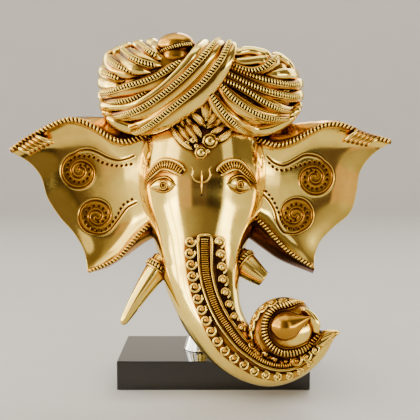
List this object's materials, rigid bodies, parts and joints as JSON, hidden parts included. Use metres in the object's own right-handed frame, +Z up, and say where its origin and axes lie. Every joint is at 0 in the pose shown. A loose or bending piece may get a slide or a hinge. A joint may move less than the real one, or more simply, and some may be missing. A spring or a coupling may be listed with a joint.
{
  "type": "ganesha mask on its stand",
  "caption": "Cast brass elephant-headed deity mask with turban, fan ears, scrolled trunk and curl, open at the back, on a rod with a flared foot and a flat block.",
  "frame": {"origin": "middle of the block's underside", "axes": "-Y is the way the mask faces, +X the viewer's right, +Z up"},
  "size_m": [0.4585, 0.1825, 0.4136],
  "materials": {
    "brass": "polished, darker in the recesses",
    "dark_steel": "dark, polished",
    "chrome": "polished"
  },
  "bodies": {
    "root": {"mask": "brass", "base_block": "dark_steel", "post_foot": "chrome", "post_rod": "chrome"}
  },
  "joints": []
}
